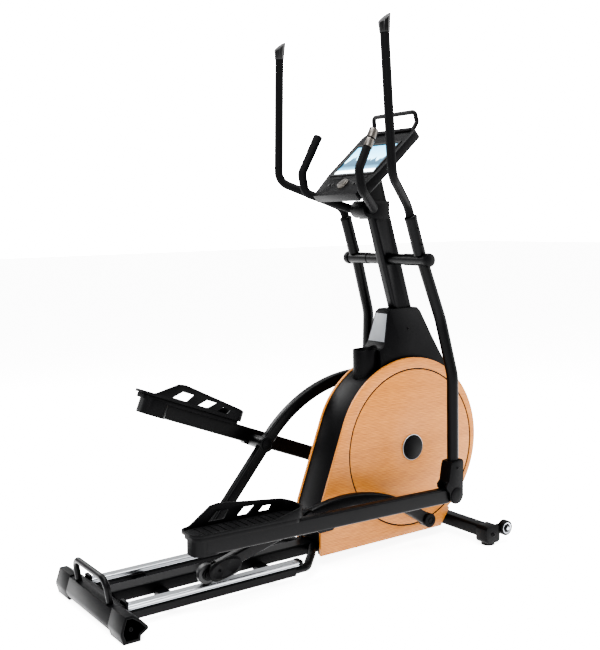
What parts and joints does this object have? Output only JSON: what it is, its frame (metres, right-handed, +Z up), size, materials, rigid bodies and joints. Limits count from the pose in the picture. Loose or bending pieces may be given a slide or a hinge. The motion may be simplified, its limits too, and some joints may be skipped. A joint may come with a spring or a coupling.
{
  "type": "elliptical trainer",
  "caption": "Front-drive elliptical trainer with wooden side discs, two pedals on long arms, moving and fixed handlebars, a tilted console and rollers running on rear rails.",
  "frame": {"origin": "middle of the machine's footprint on the floor", "axes": "+X towards the drive end and the console, +Y towards the machine's left, +Z up"},
  "size_m": [1.54, 0.683, 1.812],
  "materials": {
    "aluminium": "satin",
    "bright_steel": "zinc",
    "chrome": "satin",
    "glass": "gloss",
    "gloss_plastic": "gloss",
    "iron": "painted",
    "plastic": "fine grain",
    "rubber": "fine texture",
    "steel": "satin",
    "urethane": "smooth",
    "wood": "satin lacquer"
  },
  "bodies": {
    "frame": {"base_beam": "steel", "front_upright": "steel", "crank_bearing": "steel", "flywheel_fork": "steel", "rear_stabiliser": "steel", "rear_end_caps": "plastic", "rear_cover": "plastic", "rear_handle": "steel", "front_stabiliser": "steel", "front_feet": "plastic", "rail_supports": "steel", "rails": "aluminium", "rail_end_caps": "plastic", "mast": "steel", "mast_shroud": "plastic", "bottle_holder": "plastic", "housing_shell": "plastic", "right_panel": "wood", "left_panel": "wood", "pivot_axle": "steel", "fixed_handlebar": "rubber", "bar_clamp": "plastic", "pulse_sensors": "chrome", "console_body": "plastic", "console_screen": "glass", "console_hoop": "steel", "drive_belt": "rubber", "brake_magnets": "steel", "wheel_bolts": "bright_steel"},
    "crank": {"crank_axle": "bright_steel", "crank_arms": "steel", "drive_pulley": "steel", "discs": "wood", "disc_caps": "plastic"},
    "flywheel": {"flywheel": "iron", "flywheel_axle": "bright_steel"},
    "dial": {"dial": "chrome"},
    "right_wheel": {"transport_wheels_right": "plastic"},
    "left_wheel": {"transport_wheels_left": "plastic"},
    "right_swing": {"right_swing_arm": "steel", "right_handle": "rubber", "right_handle_cap": "gloss_plastic", "right_knuckle": "plastic"},
    "right_arm": {"right_pedal_arm": "steel", "right_pedal": "plastic", "right_pedal_mat": "rubber"},
    "right_link": {"right_link": "steel"},
    "right_carriage": {"right_roller_axle": "plastic"},
    "right_roller": {"right_roller": "urethane"},
    "left_swing": {"left_swing_arm": "steel", "left_handle": "rubber", "left_handle_cap": "gloss_plastic", "left_knuckle": "plastic"},
    "left_arm": {"left_pedal_arm": "steel", "left_pedal": "plastic", "left_pedal_mat": "rubber"},
    "left_link": {"left_link": "steel"},
    "left_carriage": {"left_roller_axle": "plastic"},
    "left_roller": {"left_roller": "urethane"}
  },
  "joints": [
    {"name": "crank_turn", "type": "hinge", "parent": "frame", "child": "crank", "pos_m": [0.461, 0, 0.35], "axis": [0, -1, 0], "continuous": true},
    {"name": "flywheel_spin", "type": "hinge", "parent": "frame", "child": "flywheel", "pos_m": [0.25, 0, 0.235], "axis": [0, -1, 0], "continuous": true},
    {"name": "right_stride", "type": "hinge", "parent": "frame", "child": "right_swing", "pos_m": [0.41, -0.182, 1.03], "axis": [0, -1, 0], "range_deg": [0, 16.83]},
    {"name": "left_stride", "type": "hinge", "parent": "frame", "child": "left_swing", "pos_m": [0.41, 0.182, 1.03], "axis": [0, -1, 0], "range_deg": [-17.82, 0]},
    {"name": "right_knee", "type": "hinge", "parent": "right_swing", "child": "right_arm", "pos_m": [0.5062, -0.23, 0.20459], "axis": [0, -1, 0], "range_deg": [-20.94, 0]},
    {"name": "right_roll_slide", "type": "slide", "parent": "frame", "child": "right_carriage", "axis": [1, 0, 0], "range_m": [0, 0.28182]},
    {"name": "right_link_turn", "type": "hinge", "parent": "right_carriage", "child": "right_link", "pos_m": [-0.43013, -0.134, 0.099], "axis": [0, -1, 0], "range_deg": [0, 16.43]},
    {"name": "right_roller_spin", "type": "hinge", "parent": "right_carriage", "child": "right_roller", "pos_m": [-0.43013, -0.134, 0.099], "axis": [0, 1, 0], "continuous": true},
    {"name": "left_knee", "type": "hinge", "parent": "left_swing", "child": "left_arm", "pos_m": [0.48366, 0.23, 0.20227], "axis": [0, -1, 0], "range_deg": [0, 29.52]},
    {"name": "left_roll_slide", "type": "slide", "parent": "frame", "child": "left_carriage", "axis": [1, 0, 0], "range_m": [-0.36563, 0]},
    {"name": "left_link_turn", "type": "hinge", "parent": "left_carriage", "child": "left_link", "pos_m": [-0.29294, 0.134, 0.099], "axis": [0, -1, 0], "range_deg": [-17.99, 0]},
    {"name": "left_roller_spin", "type": "hinge", "parent": "left_carriage", "child": "left_roller", "pos_m": [-0.29294, 0.134, 0.099], "axis": [0, 1, 0], "continuous": true},
    {"name": "dial_turn", "type": "hinge", "parent": "frame", "child": "dial", "pos_m": [0.21826, 0, 1.29274], "axis": [-0.6561, 0, 0.7547], "continuous": true},
    {"name": "right_wheel_spin", "type": "hinge", "parent": "frame", "child": "right_wheel", "pos_m": [0.717, -0.281, 0.054], "axis": [0, 1, 0], "continuous": true},
    {"name": "left_wheel_spin", "type": "hinge", "parent": "frame", "child": "left_wheel", "pos_m": [0.717, 0.281, 0.054], "axis": [0, 1, 0], "continuous": true}
  ],
  "couplings": [
    {"joint": "left_stride", "follows": "right_stride", "ratio": -1.0543},
    {"joint": "right_knee", "follows": "right_stride", "ratio": -1.2392},
    {"joint": "left_knee", "follows": "right_stride", "ratio": 1.7469},
    {"joint": "right_link_turn", "follows": "right_stride", "ratio": 0.97248},
    {"joint": "left_link_turn", "follows": "right_stride", "ratio": -1.0646},
    {"joint": "right_roll_slide", "follows": "right_stride", "m_per_rad": 0.95561},
    {"joint": "right_roller_spin", "follows": "right_stride", "ratio": 30.145},
    {"joint": "left_roll_slide", "follows": "right_stride", "m_per_rad": -1.2398},
    {"joint": "left_roller_spin", "follows": "right_stride", "ratio": -39.11},
    {"joint": "flywheel_spin", "follows": "crank_turn", "ratio": 6.8182}
  ]
}
